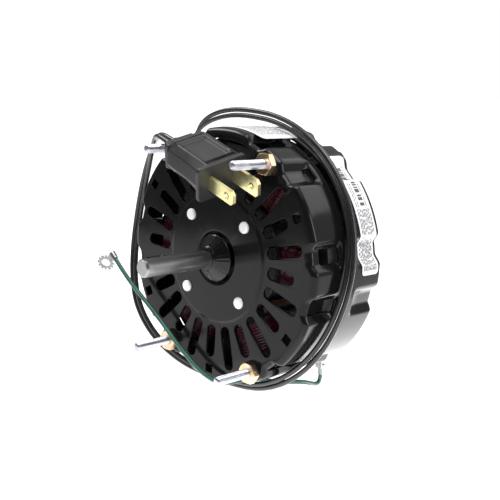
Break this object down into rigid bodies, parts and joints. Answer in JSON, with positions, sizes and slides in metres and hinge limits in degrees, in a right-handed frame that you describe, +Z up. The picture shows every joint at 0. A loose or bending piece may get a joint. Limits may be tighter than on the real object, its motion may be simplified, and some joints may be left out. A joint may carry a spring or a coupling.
{
  "type": "shaded-pole blower motor",
  "caption": "Open shaded-pole fan motor: two slotted black end bells on through studs, shaft, wound stator, cage rotor, plug leads and ground wire.",
  "frame": {"origin": "centre of the four mounting studs, on the shaft's axis, in the plane of their nuts' front faces where a bracket seats", "axes": "+Y runs along the shaft into the motor, so the shaft and studs point to -Y; +Z is up, along the studs' longer spacing"},
  "size_m": [0.1352, 0.0908, 0.1273],
  "materials": {
    "black_enamel": "gloss black baked enamel on pressed sheet steel",
    "plated_steel": "bright plated pressed steel",
    "rivet_aluminium": "bright aluminium",
    "bearing_bronze": "porous sintered bronze",
    "felt": "oil-soaked felt",
    "laminations": "stacked electrical steel laminations",
    "protector_case": "dull dark case",
    "zinc_steel": "bright zinc, rolled thread",
    "yellow_zinc": "yellow chromate on steel",
    "black_rubber": "black rubber",
    "black_insulation": "smooth black wire insulation",
    "plug_plastic": "moulded black plastic",
    "blade_brass": "bright brass",
    "green_insulation": "green wire insulation",
    "tinned_terminal": "tinned copper",
    "label": "blank white label film",
    "shaft_steel": "ground steel",
    "washer_plastic": "natural nylon",
    "cast_aluminium": "die-cast aluminium",
    "coil_enamel": "red enamelled winding wire",
    "liner_film": "insulating film",
    "shading_copper": "bare copper"
  },
  "bodies": {
    "motor": {"front_bell": "black_enamel", "rear_bell": "black_enamel", "front_bearing_retainer": "plated_steel", "rear_bearing_cap": "plated_steel", "front_rivets": "rivet_aluminium", "rear_rivets": "rivet_aluminium", "front_bearing": "bearing_bronze", "rear_bearing": "bearing_bronze", "front_oil_wick": "felt", "rear_oil_wick": "felt", "stator_stack": "laminations", "thermal_protector": "protector_case", "through_studs": "zinc_steel", "front_nuts": "yellow_zinc", "lead_grommet": "black_rubber", "lead_inner": "black_insulation", "lead_outer": "black_insulation", "plug_body": "plug_plastic", "line_blade": "blade_brass", "neutral_blade": "blade_brass", "ground_wire": "green_insulation", "ground_rear_lug": "tinned_terminal", "ground_free_lug": "tinned_terminal", "rating_label": "label", "coil_1": "coil_enamel", "coil_liner_1": "liner_film", "shading_ring_1": "shading_copper", "coil_2": "coil_enamel", "coil_liner_2": "liner_film", "shading_ring_2": "shading_copper", "coil_3": "coil_enamel", "coil_liner_3": "liner_film", "shading_ring_3": "shading_copper", "coil_4": "coil_enamel", "coil_liner_4": "liner_film", "shading_ring_4": "shading_copper", "coil_5": "coil_enamel", "coil_liner_5": "liner_film", "shading_ring_5": "shading_copper", "coil_6": "coil_enamel", "coil_liner_6": "liner_film", "shading_ring_6": "shading_copper"},
    "rotor": {"shaft": "shaft_steel", "oil_slinger": "black_rubber", "thrust_washers": "washer_plastic", "rotor_core": "laminations", "rotor_cage": "cast_aluminium"}
  },
  "joints": [
    {"name": "rotor_spin", "type": "hinge", "parent": "motor", "child": "rotor", "pos_m": [0, 0, 0], "axis": [0, 1, 0], "continuous": true}
  ]
}
